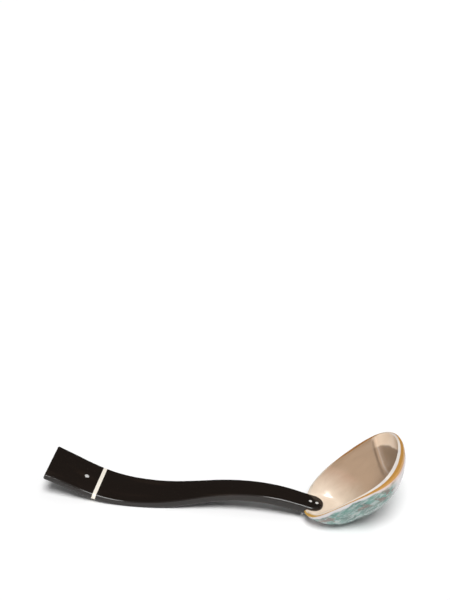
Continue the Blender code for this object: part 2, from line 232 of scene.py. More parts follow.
class Wire:
    """A socket used as a value: an operator on it adds its Math or Vector Math node."""

    def __init__(self, tree, socket):
        self.tree = tree
        self.socket = socket

    def node(self, kind, settings=None, values=(), output=0):
        """Add any node to this wire's tree."""
        return add_node(self.tree, kind, settings, values, output)

    def math(self, operation, *others):
        """A Math node on this value, or a Vector Math node if anything here is a vector."""
        wires = [value for value in (self, *others) if isinstance(value, Wire)]
        vector = any(wire.socket.type == "VECTOR" for wire in wires)
        kind = "ShaderNodeVectorMath" if vector else "ShaderNodeMath"
        return self.node(kind, {"operation": operation}, (self, *others))

    def __rsub__(self, other):
        return self.node("ShaderNodeMath", {"operation": "SUBTRACT"}, (other, self))

    def __rtruediv__(self, other):
        return self.node("ShaderNodeMath", {"operation": "DIVIDE"}, (other, self))

    def dot(self, other):
        """Length of this vector along another of length 1."""
        return self.node("ShaderNodeVectorMath", {"operation": "DOT_PRODUCT"},
                         (self, other), "Value")

    def part(self, axis):
        """One component of a vector."""
        return self.node("ShaderNodeSeparateXYZ", None, (self,), "XYZ"[axis])

    def step(self, start, end):
        """0 before start, 1 after end, smooth between them."""
        return self.node("ShaderNodeMapRange", {"interpolation_type": "SMOOTHSTEP"},
                         {"Value": self, "From Min": start, "From Max": end})

    def bell(self, centre, width):
        """1 at the centre, fading to 0 at this width from it."""
        return 1.0 - (self - centre).size().step(0.0, width)


WIRE_OPERATORS = {"__add__": "ADD", "__radd__": "ADD", "__sub__": "SUBTRACT",
                  "__mul__": "MULTIPLY", "__rmul__": "MULTIPLY", "__truediv__": "DIVIDE",
                  "__pow__": "POWER", "at_least": "MAXIMUM", "at_most": "MINIMUM",
                  "cos": "COSINE", "sin": "SINE", "size": "ABSOLUTE"}
for method, operation in WIRE_OPERATORS.items():
    setattr(Wire, method, partialmethod(Wire.math, operation))


def add_node(tree, kind, settings=None, values=(), output=0):
    """A node of any kind: its settings first, then its sockets by place or by name."""
    node = tree.nodes.new(kind)
    for name, value in (settings or {}).items():
        setattr(node, name, value)
    pairs = values.items() if isinstance(values, dict) else enumerate(values)
    for key, value in pairs:
        plug(tree, node.inputs[key], value)
    return Wire(tree, node.outputs[output])


def plug(tree, socket, value):
    """Link a wire to a socket, or set the socket's own value."""
    if isinstance(value, Wire):
        tree.links.new(value.socket, socket)
    elif socket.type == "VECTOR" and isinstance(value, (int, float)):
        socket.default_value = (value, value, value)
    elif socket.type == "RGBA":
        socket.default_value = (*value[:3], 1.0)
    else:
        socket.default_value = value


def vector(tree, x, y, z):
    """A vector from three values."""
    return add_node(tree, "ShaderNodeCombineXYZ", None, (x, y, z))


def lobe(angle, centre, power):
    """1 at the centre, falling to 0 a quarter turn from it."""
    return (angle - centre).cos().at_least(0.0) ** power


# ---------------- materials

class Finish:
    """A new material, its tree and its Principled shader."""

    def __init__(self, name, colours=None, **constants):
        self.colours = colours
        self.material = bpy.data.materials.new(name)
        self.material.use_nodes = True
        self.tree = self.material.node_tree
        self.shader = self.tree.nodes["Principled BSDF"]
        for socket, value in constants.items():
            plug(self.tree, self.shader.inputs[socket.replace("_", " ")], value)
        self.place = add_node(self.tree, "ShaderNodeTexCoord", None, (), "Object")

    def noise(self, scale, detail=3.0, roughness=0.5, warp=0.0, where=None):
        """Cloudy value from 0 to 1, stretched where the scale is given for each axis."""
        where = where or self.place
        if isinstance(scale, tuple):
            where = add_node(self.tree, "ShaderNodeMapping", None,
                             {"Vector": where, "Scale": scale})
            scale = 1.0
        return add_node(self.tree, "ShaderNodeTexNoise", None,
                        {"Vector": where, "Scale": scale, "Detail": detail,
                         "Roughness": roughness, "Distortion": warp})

    def mix(self, factor, below, above):
        """Colour below where the factor is 0 and above where it is 1; a name is looked up."""
        below, above = (tuple(getattr(self.colours, tone)) if isinstance(tone, str) else tone
                        for tone in (below, above))
        return add_node(self.tree, "ShaderNodeMix", {"data_type": "RGBA"},
                        {0: factor, 6: below, 7: above}, 2)

    def attribute(self, name, output):
        """A value that is stored on the mesh."""
        return add_node(self.tree, "ShaderNodeAttribute", {"attribute_name": name}, (), output)

    def finish(self, colour_=None, roughness=None, height=None, depth=0.0):
        """Link what varies over the surface, with a bump of this depth in metres."""
        if colour_ is not None:
            plug(self.tree, self.shader.inputs["Base Color"], colour_)
        if roughness is not None:
            plug(self.tree, self.shader.inputs["Roughness"], roughness)
        if height is not None:
            bump = add_node(self.tree, "ShaderNodeBump", None,
                            {"Strength": 1.0, "Distance": depth, "Height": height})
            plug(self.tree, self.shader.inputs["Normal"], bump)
        return self.material


def horn_finish(colours):
    """Near-black polished horn with faint brown streaks along it."""
    horn = Finish("black_horn", colours, IOR=1.5)
    streaks = horn.noise((9.0, 120.0, 120.0), 5.0, 0.6, 0.4)
    clouds = horn.noise(38.0, 3.0)
    brown = streaks.step(0.50, 0.80) * (0.35 + clouds * 0.65)
    hairs = horn.noise((30.0, 2600.0, 2600.0), 2.0)
    tone = horn.mix(brown, "horn", "horn_streak")
    roughness = 0.05 + clouds * 0.04 + hairs * 0.04
    return horn.finish(tone, roughness, hairs * 0.4 + streaks, 0.012 * MM)


def bone_finish(colours):
    """Ivory bone with fine pores that run along the handle."""
    bone = Finish("bone", colours, IOR=1.5)
    pores = bone.noise((500.0, 3200.0, 3200.0), 2.0, 0.6)
    clouds = bone.noise(160.0, 3.0)
    marks = pores.step(0.62, 0.80) * 0.45 + clouds.step(0.45, 0.85) * 0.18
    tone = bone.mix(marks, "bone", "bone_pore")
    return bone.finish(tone, 0.28 + pores * 0.14, pores, -0.02 * MM)


def pin_finish(colours):
    """White metal, filed flush and rubbed."""
    metal = Finish("white_metal", colours, Metallic=0.45)
    scratches = metal.noise((900.0, 4200.0, 900.0), 3.0, 0.6)
    clouds = metal.noise(700.0, 2.0)
    dull = tuple(channel * 0.78 for channel in colours.pin)
    tone = metal.mix(clouds.step(0.35, 0.75), "pin", dull)
    return metal.finish(tone, 0.42 + scratches * 0.14, scratches, 0.008 * MM)


def shell_finish(colours):
    """The shell's layers, laid out by the skin attribute: turn, way in mm, and zone."""
    shell = Finish("sea_shell", colours, IOR=1.56)
    skin = shell.attribute("skin", "Vector")
    angle, way, zone = (skin.part(axis) for axis in range(3))
    wobble = shell.noise(90.0, 3.0) - 0.5
    inside = inside_colour(shell, angle, way)
    outside = outside_colour(shell, colours, angle, way, wobble)
    layers = shell.noise((60.0, 60.0, 400.0), 2.0)
    ground = shell.mix(layers.step(0.3, 0.8), "lip", "pearl")
    ground = shell.mix(lobe(angle, math.radians(-20), 2.0).step(0.10, 0.55),
                       "nacre_light", ground)
    tone = shell.mix(zone.step(0.0, 0.06), outside, ground)
    tone = shell.mix(zone.step(0.93, 1.0), tone, inside)
    tone = ochre_layer(shell, angle, way, wobble, tone)
    fine = shell.noise((700.0, 700.0, 700.0), 3.0)
    roughness = 0.13 + fine * 0.07 + (1.0 - zone) * 0.06
    growth = shell.noise(1.0, 3.0, 0.6,
                         where=vector(shell.tree, angle * 6.0, way * 0.9, 0.0))
    return shell.finish(tone, roughness, growth + fine * 0.25, 0.03 * MM)


def inside_colour(shell, angle, way):
    """Cream nacre in broad growth clouds; painted shade past the fold and on its near flank, a
    painted highlight along the fold, and painted light low by the handle and above the crest.
    """
    clouds = shell.noise((26.0, 34.0, 44.0), 4.0, 0.55, 0.6)
    bands = shell.noise(1.0, 4.0, 0.6, 0.3,
                        where=vector(shell.tree, angle * 1.6, way * 0.16, 0.0))
    ragged = shell.attribute("past_fold", "Fac") + (bands - 0.5) * 3.0
    far = angle.step(math.radians(0), math.radians(30))
    # Painted shade: darker on the far wall past the fold, and a dark line on the fold's near
    # flank.
    painted_shade_past_fold = ragged.step(-0.7, 1.2) * 0.60 * angle.step(math.radians(-40), math.radians(10))
    painted_fold_shade = ragged.bell(-1.5, 1.5) * far * 0.42
    # This share mixes the real darker growth layers with the painted shade above.
    deep = clouds.step(0.42, 0.80) * 0.45 + bands.step(0.42, 0.78) * 0.35 + painted_shade_past_fold + painted_fold_shade
    cream = shell.mix(deep.at_most(1.0), "nacre", "nacre_deep")
    # Painted highlight: a pale streak along the fold's ridge.
    painted_fold_highlight = ragged.bell(0.9, 1.0) * far
    cream = shell.mix(painted_fold_highlight * 0.22, cream, "pearl")
    warm = clouds.step(0.50, 0.66) * (1.0 - way.step(16.0, 24.0)) * 0.30
    cream = shell.mix(warm, cream, "blush")
    # Painted light: the low inside by the handle is made lighter, as if lit there where the light
    # falls.
    rise = shell.place.part(0) * 0.5 + shell.place.part(2) + (bands - 0.5) * 0.010
    lit = 1.0 - rise.step(0.038, 0.070)
    cream = shell.mix(lit * 0.85, cream, "nacre_light")
    # Painted light: the inner tip wall above the crest is made pale, as if lit.
    flat = angle.step(math.radians(-2), math.radians(14))
    flat = flat * (1.0 - angle.step(math.radians(56), math.radians(70)))
    slope = way + angle * 2.0 + (clouds - 0.5) * 6.0
    pale = flat * (1.0 - slope.step(10.6, 12.0))
    return shell.mix(pale * 0.85, cream, "tip_pale")


def outside_colour(shell, colours, angle, way, wobble):
    """Pearl by the rim, then green mottles with brown patches and pale growth lines."""
    down = way * -1.0
    slanted = vector(shell.tree, angle * 5.0 + down * 0.16, down * 0.34, 0.0)
    mottle = shell.noise((48.0, 48.0, 80.0), 4.0, 0.62, 0.9)
    patches = shell.noise((62.0, 62.0, 100.0), 4.0, 0.65, 0.6)
    lines = shell.noise(1.0, 5.0, 0.65, 0.5, where=slanted)
    green = shell.mix(mottle.step(0.38, 0.60), "deep_green", "teal")
    pale_teal = tuple((a + b) / 2 for a, b in zip(colours.teal, colours.pearl))
    green = shell.mix(lines.step(0.44, 0.60) * 0.75, green, pale_teal)
    grain = shell.noise((190.0, 190.0, 260.0), 3.0, 0.6, 0.8)
    brown = patches + (grain - 0.5) * 0.30
    row = (down + wobble * 9.0).bell(8.5, 6.0)
    green = shell.mix(brown.step(0.50, 0.56) * row, green, "mauve")
    specks = grain.step(0.56, 0.66) * row
    green = shell.mix(specks * 0.65, green, pale_teal)
    green = shell.mix(lines.step(0.60, 0.74) * 0.5, green, "pearl")
    start = 1.8 + wobble * 5.0
    tip = lobe(angle, math.radians(-4), 6.0)
    heel = lobe(angle, math.radians(-172), 10.0)
    cover = (down - start).step(0.0, 1.3) * (1.0 - tip.step(0.15, 0.50))
    cover = cover * (1.0 - heel.step(0.45, 0.85))
    return shell.mix(cover, "pearl", green)


def ochre_layer(shell, angle, way, wobble, below):
    """The ochre band on the rim's outer edge, with a blush under it near the tip."""
    into_lip = (0.26 + lobe(angle, math.radians(-26), 3.0) * 2.5
                + lobe(angle, math.radians(-154), 16.0) * 1.7
                + lobe(angle, math.radians(84), 6.0) * 2.2)
    over_edge = (0.12 + lobe(angle, math.radians(-14), 4.0) * 2.0
                 + lobe(angle, math.radians(84), 6.0) * 1.2)
    ragged = way + wobble * 0.5
    band = (into_lip - ragged).step(-0.12, 0.18) * (ragged + over_edge).step(-0.6, 0.2)
    gone = angle.bell(math.radians(42), math.radians(24))
    band = band * (1.0 - gone * 0.85)
    blush = (way + wobble * 2.0).bell(-1.4, 4.4) * lobe(angle, math.radians(-16), 4.0)
    tone = shell.mix(blush * 0.85, below, "blush")
    rust = shell.mix(lobe(angle, math.radians(84), 6.0), "ochre",
                     "rust")
    rust = shell.mix(lobe(angle, math.radians(-160), 8.0), rust, "amber")
    return shell.mix(band, tone, rust)


# ---------------- mesh helpers

def smooth_through(shares, values, at):
    """Cubic curve through the values, level after the last one."""
    last = len(shares) - 1
    slopes = []
    for i in range(last + 1):
        before = max(i - 1, 0)
        after = min(i + 1, last)
        slopes.append((values[after] - values[before]) / (shares[after] - shares[before]))
    if at >= shares[last]:
        return values[last]
    k = max(i for i in range(last) if shares[i] <= at)
    span = shares[k + 1] - shares[k]
    t = (at - shares[k]) / span
    return (values[k] * (2 * t**3 - 3 * t**2 + 1) + slopes[k] * span * (t**3 - 2 * t**2 + t)
            + values[k + 1] * (3 * t**2 - 2 * t**3) + slopes[k + 1] * span * (t**3 - t**2))


def object_of(name, bm, material=None):
    """Close a bmesh off as an object with its faces pointing out."""
    bmesh.ops.recalc_face_normals(bm, faces=bm.faces[:])
    mesh = bpy.data.meshes.new(name)
    bm.to_mesh(mesh)
    bm.free()
    obj = bpy.data.objects.new(name, mesh)
    bpy.context.scene.collection.objects.link(obj)
    if material is not None:
        mesh.materials.append(material)
    return obj


def skin_rows(bm, rows):
    """Faces between closed rows of points."""
    count = len(rows[0])
    for row, following in zip(rows, rows[1:]):
        for i in range(count):
            j = (i + 1) % count
            bm.faces.new((row[i], row[j], following[j], following[i]))


def settle(obj):
    """Turn an object's modifiers into plain mesh."""
    bpy.context.view_layer.update()
    depsgraph = bpy.context.evaluated_depsgraph_get()
    mesh = bpy.data.meshes.new_from_object(obj.evaluated_get(depsgraph), depsgraph=depsgraph)
    obj.modifiers.clear()
    obj.data = mesh


def combine(obj, tool, operation="DIFFERENCE"):
    """Cut an object with a tool, or join the tool to it, and drop the tool."""
    modifier = obj.modifiers.new(tool.name, "BOOLEAN")
    modifier.operation = operation
    modifier.solver = "EXACT"
    modifier.object = tool
    settle(obj)
    bpy.data.objects.remove(tool, do_unlink=True)


def shade(obj):
    """Smooth shading with the real edges kept sharp."""
    obj.data.shade_smooth()
    obj.data.set_sharp_from_angle(angle=SHARP_ANGLE)


def keep_in_box(obj):
    """Move every point that lies past the frame's own box onto it."""
    low, high = CAD_BOX
    for vertex in obj.data.vertices:
        for axis in range(3):
            vertex.co[axis] = min(max(vertex.co[axis], low[axis]), high[axis])


def hand_in(piece, node):
    """Put a finished piece in the place of its CAD node."""
    shade(piece)
    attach(piece, "root")
    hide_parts(node)


# ---------------- handle

class Handle:
    """The handle's course, placed in the frame by the pin in its butt cap."""

    steps = 400

    def __init__(self, sizes):
        self.sizes = sizes
        self.pace = sizes.handle_length / self.steps
        shares = [share_ for share_, heading in HANDLE_COURSE]
        headings = [math.radians(heading) for share_, heading in HANDLE_COURSE]
        self.headings = [smooth_through(shares, headings, i / self.steps)
                         for i in range(self.steps + 1)]
        self.points = [Vector((0.0, 0.0, 0.0))]
        for a, b in zip(self.headings, self.headings[1:]):
            middle = (a + b) / 2
            step = Vector((math.cos(middle), 0.0, math.sin(middle))) * self.pace
            self.points.append(self.points[-1] + step)
        low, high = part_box("butt_pin")
        place = butt_pin_place(sizes)
        point, _, out = self.at(place)
        middle = (Vector(low) + Vector(high)) / 2
        shift = middle - (point - out * self.thickness(place) / 2)
        self.points = [point + shift for point in self.points]

    def at(self, distance):
        """Point, direction along the handle, and direction out of its top face."""
        place = min(max(distance / self.pace, 0.0), self.steps)
        i = min(int(place), self.steps - 1)
        rest = place - i
        point = self.points[i].lerp(self.points[i + 1], rest)
        heading = self.headings[i] * (1 - rest) + self.headings[i + 1] * rest
        along = Vector((math.cos(heading), 0.0, math.sin(heading)))
        return point, along, Vector((-math.sin(heading), 0.0, math.cos(heading)))

    def half_width(self, distance):
        """Half the width, before the tip is rounded."""
        s = self.sizes
        widths = (s.butt_width, s.waist_width, s.shank_width, s.tongue_width)
        return smooth_through(WIDTH_SHARES, widths, distance / s.handle_length) / 2

    def thickness(self, distance):
        """Thickness of the horn."""
        s = self.sizes
        values = (s.butt_thickness, s.waist_thickness, s.shank_thickness, s.neck_thickness)
        return smooth_through(THICKNESS_SHARES, values, distance / s.handle_length)

    def outline(self, start, end, butt, tip):
        """One side of the plan, from start to end: (distance, half width) points."""
        corner_steps = 6
        tip_steps = 28
        points = []
        first = start
        if butt:
            corner = self.sizes.butt_corner
            first = start + corner
            for k in range(corner_steps):
                angle = math.pi - math.pi / 2 * k / corner_steps
                points.append((first + corner * math.cos(angle),
                               self.half_width(first) - corner * (1 - math.sin(angle))))
        last = end - self.sizes.tip_round if tip else end
        count = max(round((last - first) / MM), 2)
        for i in range(count + 1):
            distance = first + (last - first) * i / count
            points.append((distance, self.half_width(distance)))
        if tip:
            for k in range(1, tip_steps + 1):
                angle = math.pi / 2 * k / tip_steps
                distance = last + self.sizes.tip_round * math.sin(angle)
                points.append((distance, self.half_width(distance) * math.cos(angle)))
        return points

    def edge_directions(self, points, butt, tip):
        """Direction out of the plan at each point of its outline."""
        directions = []
        for before, after in zip([points[0]] + points, points[1:] + [points[-1]]):
            tangent = Vector((after[0] - before[0], after[1] - before[1]))
            directions.append(Vector((-tangent.y, tangent.x)).normalized())
        directions[0] = Vector((-1.0, 0.0)) if butt else Vector((0.0, 1.0))
        directions[-1] = Vector((1.0, 0.0)) if tip else Vector((0.0, 1.0))
        return directions

    def body(self, start, end, butt=False, tip=False):
        """A stretch of the handle with its long edges rounded, also round a free end."""
        round_steps = 5
        outline = self.outline(start, end, butt, tip)
        directions = self.edge_directions(outline, butt, tip)
        radius = self.sizes.edge_round
        quarter = [math.pi / 2 * k / round_steps for k in range(round_steps + 1)]
        levels = [(angle, True) for angle in quarter]
        levels += [(angle, False) for angle in reversed(quarter)]
        bm = bmesh.new()
        rows = []
        for angle, at_top in levels:
            inset = radius * (1 - math.sin(angle))
            drop = radius * (1 - math.cos(angle))
            right = []
            left = []
            for (distance, half), direction in zip(outline, directions):
                inner = distance - direction.x * inset
                across = max(half - direction.y * inset, 0.0)
                point, _, out = self.at(inner)
                depth = drop if at_top else self.thickness(inner) - drop
                right.append(bm.verts.new(point - out * depth + Vector((0.0, across, 0.0))))
                left.append(bm.verts.new(point - out * depth - Vector((0.0, across, 0.0))))
            rows.append(right + left[::-1])
        skin_rows(bm, rows)
        count = len(rows[0])
        for row in (rows[0], rows[-1]):
            for i in range(count // 2 - 1):
                bm.faces.new((row[i], row[i + 1], row[count - 2 - i], row[count - 1 - i]))
        bmesh.ops.remove_doubles(bm, verts=bm.verts[:], dist=MERGE)
        return bm

    def bar(self, name, start, end, half_y, top, bottom):
        """A square-edged bar between two depths below the top face."""
        steps = 10
        bm = bmesh.new()
        rows = []
        for i in range(steps + 1):
            distance = start + (end - start) * i / steps
            point, along, out = self.at(distance)
            if distance > self.sizes.handle_length:
                point = point + along * (distance - self.sizes.handle_length)
            side = Vector((0.0, half_y, 0.0))
            high = point - out * top(distance)
            deep = point - out * bottom(distance)
            rows.append([bm.verts.new(corner) for corner in
                         (high + side, deep + side, deep - side, high - side)])
        skin_rows(bm, rows)
        bm.faces.new(rows[0])
        bm.faces.new(rows[-1][::-1])
        return object_of(name, bm)

    def tenon(self, growth, start, end):
        """The flat bar that runs through the band, grown for a mortise."""
        half = self.sizes.tenon_thickness / 2 + growth
        return self.bar("tenon", start, end, self.sizes.tenon_width / 2 + growth,
                        lambda distance: self.thickness(distance) / 2 - half,
                        lambda distance: self.thickness(distance) / 2 + half)

    def shoulder(self):
        """What is cut away under the tongue."""
        s = self.sizes
        under = s.tongue_thickness + s.joint_gap - s.close_fit
        deep = 5 * s.neck_thickness
        start = s.handle_length - s.rim_from_tip + s.shoulder_past_rim
        return self.bar("shoulder", start, s.handle_length + s.tip_round, s.tongue_width,
                        lambda distance: under, lambda distance: deep)

    def pin(self, name, distance, radius, above, below):
        """Round bar square to the top face, with its ends' edges softened."""
        segments = 48
        soft = radius * 0.10
        point, _, out = self.at(distance)
        profile = [(0.0, above), (radius - soft, above), (radius, above - soft),
                   (radius, -below + soft), (radius - soft, -below), (0.0, -below)]
        bm = bmesh.new()
        verts = [bm.verts.new((x, 0.0, z)) for x, z in profile]
        edges = [bm.edges.new(pair) for pair in zip(verts, verts[1:])]
        bmesh.ops.spin(bm, geom=verts + edges, cent=(0, 0, 0), axis=UP,
                       angle=2 * math.pi, steps=segments)
        bmesh.ops.remove_doubles(bm, verts=bm.verts[:], dist=MERGE)
        turn_ = UP.rotation_difference(out).to_matrix().to_4x4()
        bmesh.ops.transform(bm, matrix=Matrix.Translation(point) @ turn_, verts=bm.verts[:])
        return object_of(name, bm)


# ---------------- bowl

OUTER_ROWS = 84                   # from the bottom up to the rim, outside
LIP_ROWS = 8                      # across the lip
INNER_ROWS = 96                   # down to the bottom again, inside
ALL_ROWS = OUTER_ROWS + LIP_ROWS + INNER_ROWS
CREST_BELLY = 0.24                # how far down the crest inside the tip runs
WALL_FULL = 0.5                   # where the lip's width has run out into the wall
LIP_SLOPE_END = 0.35              # where the lip's slope has run out
LIP_NARROWING = 3.5               # how quickly the lip narrows from its widest place
SEAT_FALL = 0.15                  # slope of the seat past the tongue's tip
FOLD_AXIS = (0.815, 0.343, -0.467)    # across the fold, along the bowl's own axes


SCRIBE_STEPS = 144                # round the shell that the horn is scribed to
GUIDE_STEPS = 180                 # round the shell that the pins are filed to
PLACING_SIZES = ("pitch", "roll", "yaw", "rim_below_top", "heel_sideways", "edge_soften")


def size_name(key):
    """Name of the rule's input for a size."""
    return key.replace("_", " ").title()


class Shell:
    """The bowl's rule, written as a Geometry Nodes tree with named inputs."""

    def __init__(self, handle, sizes, material):
        self.handle = handle
        self.sizes = sizes
        self.tree = bpy.data.node_groups.new("shell_bowl_rule", "GeometryNodeTree")
        self.values = self.input_values(material)
        self.ids = {}
        self.wires = self.write_inputs()
        self.power = 2.0 / self.wires["Belly Power"]
        self.write_rule()

    def input_values(self, material):
        """Name of each input and the value that it starts with."""
        s = self.sizes
        h = self.handle.sizes
        long_axis = Vector((math.cos(s.pitch) * math.cos(s.yaw),
                            math.cos(s.pitch) * math.sin(s.yaw), math.sin(s.pitch)))
        level = UP.cross(long_axis).normalized()
        cross_axis = level * math.cos(s.roll) + long_axis.cross(level) * math.sin(s.roll)
        up_axis = long_axis.cross(cross_axis)
        fold_axis = (long_axis * FOLD_AXIS[0] + cross_axis * FOLD_AXIS[1]
                     + up_axis * FOLD_AXIS[2])
        point, _, out = self.handle.at(h.handle_length - h.rim_from_tip)
        heel = point - out * s.rim_below_top + Vector((0.0, s.heel_sideways, 0.0))
        tip, _, out = self.handle.at(h.handle_length)
        slope, bend = self.seat_line(tip)
        values = {size_name(key): getattr(s, key) for key in BowlSizes.__annotations__
                  if key not in PLACING_SIZES}
        values.update({
            "Fold Axis": fold_axis, "Growth": 0.0, "Material": material,
            "Centre": heel + long_axis * s.rim_length / 2 + up_axis * s.sag,
            "Long Axis": long_axis, "Cross Axis": cross_axis, "Up Axis": up_axis,
            "Seat End": tip - UP * (h.tongue_thickness + h.joint_gap) / out.z,
            "Seat Slope": slope, "Seat Bend": bend,
            "Seat Half Width": h.tongue_width / 2 + s.seat_margin,
        })
        return values

    def seat_line(self, tip):
        """Slope and bend of the parabola that the top face follows up to the tip."""
        h = self.handle.sizes
        a = self.handle.at(h.handle_length - h.rim_from_tip / 2)[0] - tip
        b = self.handle.at(h.handle_length - h.rim_from_tip)[0] - tip
        bend = (a.z / a.x - b.z / b.x) / (a.x - b.x)
        return a.z / a.x - bend * a.x, bend

    def write_inputs(self):
        """Make the group's sockets and give each input's wire by its name."""
        kinds = {float: "NodeSocketFloat", int: "NodeSocketInt", Vector: "NodeSocketVector",
                 bpy.types.Material: "NodeSocketMaterial"}
        for name, value in self.values.items():
            item = self.tree.interface.new_socket(name, in_out="INPUT",
                                                  socket_type=kinds[type(value)])
            self.ids[name] = item.identifier
        self.tree.interface.new_socket("Shell", in_out="OUTPUT",
                                       socket_type="NodeSocketGeometry")
        group = self.tree.nodes.new("NodeGroupInput")
        return {name: Wire(self.tree, group.outputs[name]) for name in self.values}

    def node(self, kind, settings=None, values=(), output=0):
        """Add a node to the rule."""
        return add_node(self.tree, kind, settings, values, output)

    def noise(self, where, scale):
        """Cloudy value from 0 to 1 with a fixed pattern."""
        return self.node("ShaderNodeTexNoise", None,
                         {"Vector": where, "Scale": scale, "Detail": 3.0})

    def store(self, geometry, name, kind, value):
        """Keep a value on every corner of the mesh, for the finish to read."""
        return self.node("GeometryNodeStoreNamedAttribute",
                         {"data_type": kind, "domain": "CORNER"},
                         {"Geometry": geometry, "Name": name, "Value": value})

    def ring(self, belly):
        """Share of the rim's size left at this depth."""
        return (belly * (math.pi / 2)).cos().at_least(0.0) ** self.power

    def sink(self, belly):
        """Share of the depth reached."""
        return (belly * (math.pi / 2)).sin().at_least(0.0) ** self.power

    def outer(self, angle, belly):
        """Outer surface: angle goes round the rim, belly from the rim (0) to the bottom (1)."""
        w = self.wires
        ring = self.ring(belly)
        double = (angle * 2.0).cos()
        half = w["Rim Length"] / 2.0
        along = half * (angle.cos() * ring + w["Shift Along"] * (1.0 - ring))
        width = w["Taper"] * angle.cos() + w["Squareness"] * double + 1.0
        across = w["Rim Width"] / 2.0 * angle.sin() * width * ring
        across = across + w["Shift Across"] * (1.0 - ring)
        height = w["Sag"] * double * ring + w["Depth"] * self.sink(belly)
        return (w["Centre"] + w["Long Axis"] * along + w["Cross Axis"] * across
                - w["Up Axis"] * height)

    def outward(self, angle, belly):
        """Direction out of the outer surface."""
        small = 0.002
        near = belly.at_least(small).at_most(1.0 - small)
        around = self.outer(angle + small, near) - self.outer(angle - small, near)
        down = self.outer(angle, near + small) - self.outer(angle, near - small)
        return down.math("CROSS_PRODUCT", around).math("NORMALIZE")

    def lip(self, angle):
        """Width of the lip, widest beside the tip."""
        w = self.wires
        heel = (w["Lip Heel"] - w["Lip Side"]) * lobe(angle, math.pi, 2.0)
        tip = (w["Lip Tip"] - w["Lip Side"]) * lobe(angle, w["Lip Turn"], LIP_NARROWING)
        return w["Lip Side"] + heel + tip

    def wall(self, angle, belly, point):
        """Thickness of the shell, with the crest inside its tip and the fold beside it."""
        w = self.wires
        fade = belly.step(0.0, WALL_FULL)
        wall = self.lip(angle) * (1.0 - fade) + w["Wall"] * fade
        rise = (belly / CREST_BELLY).at_most(1.0) * (1.0 - belly.step(CREST_BELLY, 0.5))
        crest = w["Crest"] * angle.bell(w["Crest Turn"], math.radians(40)) * rise
        beside = self.beside_fold(point - self.outward(angle, belly) * w["Wall"])
        along = belly.step(0.02, 0.12) * (1.0 - belly.step(0.50, 0.66))
        far_side = angle.step(math.radians(15), math.radians(38))
        fold = w["Fold"] * beside.bell(0.0, 2.2 * MM) * along * far_side
        waves = (self.noise(point, 45.0) - 0.5) * w["Ripple"] * belly.step(0.0, 0.2)
        return wall + crest + fold + waves

    def beside_fold(self, point):
        """Distance past the fold's plane, towards the tip."""
        w = self.wires
        return (point - w["Centre"]).dot(w["Fold Axis"]) - w["Fold Place"]

    def seat_share(self, point):
        """1 under the tongue and 0 well away from it."""
        w = self.wires
        beside = (point.part(1) - w["Seat End"].part(1)).size()
        side = w["Seat Half Width"]
        past = point.part(0) - w["Seat End"].part(0)
        across = 1.0 - beside.step(side, side + w["Seat Fade Side"])
        return across * (1.0 - past.step(w["Seat Margin"], w["Seat Margin"] + w["Seat Fade End"]))

    def seat(self, point):
        """Height of the seat under the tongue: its parabola, then a gentle fall."""
        w = self.wires
        past = point.part(0) - w["Seat End"].part(0)
        under = past.at_most(0.0)
        return (w["Seat End"].part(2) + w["Seat Slope"] * under
                + w["Seat Bend"] * under * under - past.at_least(0.0) * SEAT_FALL)

    def raised(self, point, height):
        """The point moved up by a height."""
        return point + vector(self.tree, 0.0, 0.0, height)

    def outside(self, angle, belly):
        """Outer surface with growth ripples, its rim kept below the tongue's seat."""
        w = self.wires
        point = self.outer(angle, belly)
        along, across, up = (point.dot(w[name + " Axis"]) for name in ("Long", "Cross", "Up"))
        layers = self.noise(vector(self.tree, along, across, up * 7.0), 60.0)
        depth = w["Ripple"] * layers * belly.step(0.03, 0.15)
        point = point - self.outward(angle, belly) * depth
        too_high = point.part(2) - (self.seat(point) - w["Seat Edge Drop"])
        return self.raised(point, too_high.at_least(0.0) * self.seat_share(point) * -1.0)

    def inside(self, angle, belly):
        """Inner surface, drawn to the tongue's seat at the heel."""
        w = self.wires
        start = self.outer(angle, belly)
        wall = self.wall(angle, belly, start)
        rise = w["Lip Slope"] * wall * (1.0 - belly.step(0.0, LIP_SLOPE_END))
        point = start - self.outward(angle, belly) * wall + w["Up Axis"] * rise
        return self.raised(point, (self.seat(point) - point.part(2)) * self.seat_share(point))

    def write_rule(self):
        """A grid of turn by row, bent up the outside, over the lip and down the inside."""
        w = self.wires
        grid = self.node("GeometryNodeMeshGrid", None,
                         {"Vertices X": w["Around"] + 1.0, "Vertices Y": ALL_ROWS + 1})
        plan = Wire(self.tree, grid.socket.node.outputs["UV Map"])
        angle = plan.part(0) * (2 * math.pi) - math.pi
        row = plan.part(1) * float(ALL_ROWS)
        up_outside = (1.0 - row / float(OUTER_ROWS)).at_least(0.0)
        zone = ((row - float(OUTER_ROWS)) / float(LIP_ROWS)).at_least(0.0).at_most(1.0)
        down_inside = ((row - float(OUTER_ROWS + LIP_ROWS)) / float(INNER_ROWS)).at_least(0.0)
        out_point = self.outside(angle, up_outside)
        in_point = self.inside(angle, down_inside)
        bent = self.node("GeometryNodeSetPosition", None,
                         {"Geometry": grid, "Position": out_point
                          + (in_point - out_point) * zone})
        depth = w["Depth"] * (self.sink(down_inside) - self.sink(up_outside))
        way = (self.lip(angle) * zone + depth) / MM
        skin = self.store(bent, "skin", "FLOAT_VECTOR", vector(self.tree, angle, way, zone))
        fold = self.store(skin, "past_fold", "FLOAT", self.beside_fold(in_point) / MM)
        joined = self.node("GeometryNodeMergeByDistance", None,
                           {"Geometry": fold, "Distance": 1e-6})
        normal = self.node("GeometryNodeInputNormal")
        grown = self.node("GeometryNodeSetPosition", None,
                          {"Geometry": joined, "Offset": normal * w["Growth"]})
        smooth = self.node("GeometryNodeSetShadeSmooth", None, {"Geometry": grown})
        real = self.node("GeometryNodeRealizeInstances", None, {"Geometry": smooth})
        done = self.node("GeometryNodeSetMaterial", None,
                         {"Geometry": real, "Material": w["Material"]})
        out = self.tree.nodes.new("NodeGroupOutput")
        self.tree.links.new(done.socket, out.inputs[0])

